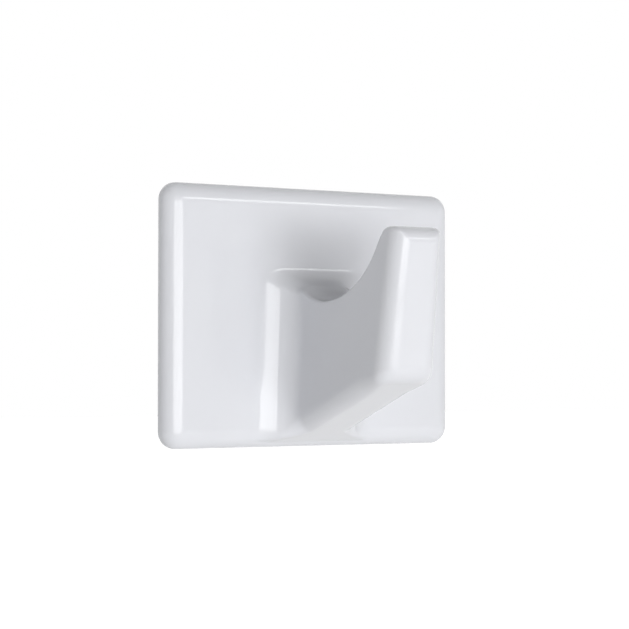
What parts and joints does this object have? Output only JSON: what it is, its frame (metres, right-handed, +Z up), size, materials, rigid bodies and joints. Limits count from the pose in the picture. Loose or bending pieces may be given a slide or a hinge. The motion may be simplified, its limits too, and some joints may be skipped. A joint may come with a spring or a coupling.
{
  "type": "adhesive wall hook",
  "caption": "Small one-piece plastic hook on a rectangular plate, stuck to a wall by a foam pad with release paper, with a scooped saddle and an upturned lip.",
  "frame": {"origin": "centre of the wall face, in the plane of the wall, half way up the plate", "axes": "+Y into the wall, so the hook stands out along -Y; +Z up; +X to the right seen from the front"},
  "size_m": [0.042, 0.0262, 0.032],
  "materials": {
    "hook_plastic": "gloss",
    "foam": "matte",
    "adhesive": "satin",
    "release_paper": "satin"
  },
  "bodies": {
    "hook": {"hook_body": "hook_plastic", "plate_adhesive": "adhesive", "foam_pad": "foam", "wall_adhesive": "adhesive"},
    "liner": {"release_liner": "release_paper"}
  },
  "joints": [
    {"name": "liner_peel", "type": "slide", "parent": "hook", "child": "liner", "axis": [0, 1, 0], "range_m": [0, 0.03]}
  ]
}
